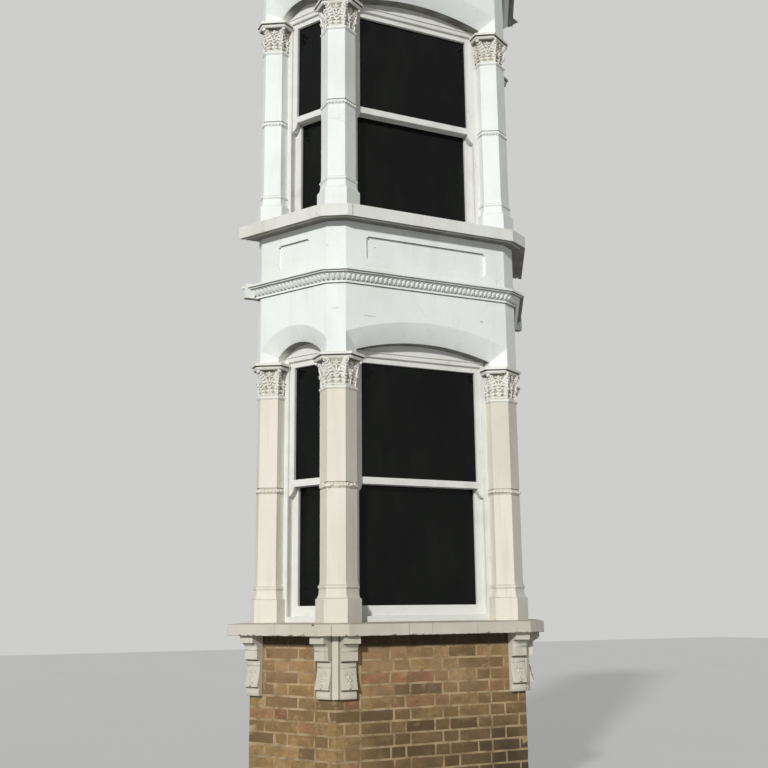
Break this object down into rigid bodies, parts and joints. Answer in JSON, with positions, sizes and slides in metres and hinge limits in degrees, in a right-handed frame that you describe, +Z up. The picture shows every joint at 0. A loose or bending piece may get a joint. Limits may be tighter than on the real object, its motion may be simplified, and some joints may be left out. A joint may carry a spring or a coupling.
{
  "type": "two-storey canted bay window",
  "caption": "Canted bay window of two storeys with a brick base, stone sills, hexagonal piers with leafy capitals, segmental arches and sash windows.",
  "frame": {"origin": "at ground level, midway along the bay and midway between the house wall and the front edge of the ground sill", "axes": "+Z up, +X along the house wall to the right as seen from the street, +Y into the house"},
  "size_m": [2.4066, 0.7576, 6.6586],
  "materials": {
    "brick": "rough buff brick in pale mortar",
    "cream_stone": "cream masonry paint, weathered",
    "painted_stone": "white masonry paint",
    "painted_timber": "white gloss paint",
    "window_glass": "clear",
    "floor_timber": "bare pine",
    "slate": "split slate"
  },
  "bodies": {
    "root": {"bead_course": "painted_stone", "brick_base": "brick", "cornice": "painted_stone", "ground_arches": "painted_stone", "ground_floor": "floor_timber", "ground_front_frame": "painted_timber", "ground_front_sashes": "painted_timber", "ground_glass": "window_glass", "ground_left_corner_capital": "cream_stone", "ground_left_corner_pier": "cream_stone", "ground_left_frame": "painted_timber", "ground_left_sashes": "painted_timber", "ground_left_wall_capital": "cream_stone", "ground_left_wall_pier": "cream_stone", "ground_right_corner_capital": "cream_stone", "ground_right_corner_pier": "cream_stone", "ground_right_frame": "painted_timber", "ground_right_sashes": "painted_timber", "ground_right_wall_capital": "cream_stone", "ground_right_wall_pier": "cream_stone", "ground_sill": "cream_stone", "left_corner_brackets": "painted_stone", "left_wall_bracket": "painted_stone", "panelled_apron": "painted_stone", "right_corner_brackets": "painted_stone", "right_wall_bracket": "painted_stone", "roof": "slate", "upper_arches": "painted_stone", "upper_ceiling": "floor_timber", "upper_floor": "floor_timber", "upper_front_frame": "painted_timber", "upper_front_sashes": "painted_timber", "upper_glass": "window_glass", "upper_left_corner_capital": "painted_stone", "upper_left_corner_pier": "painted_stone", "upper_left_frame": "painted_timber", "upper_left_sashes": "painted_timber", "upper_left_wall_capital": "painted_stone", "upper_left_wall_pier": "painted_stone", "upper_right_corner_capital": "painted_stone", "upper_right_corner_pier": "painted_stone", "upper_right_frame": "painted_timber", "upper_right_sashes": "painted_timber", "upper_right_wall_capital": "painted_stone", "upper_right_wall_pier": "painted_stone", "upper_sill": "painted_stone"}
  },
  "joints": []
}
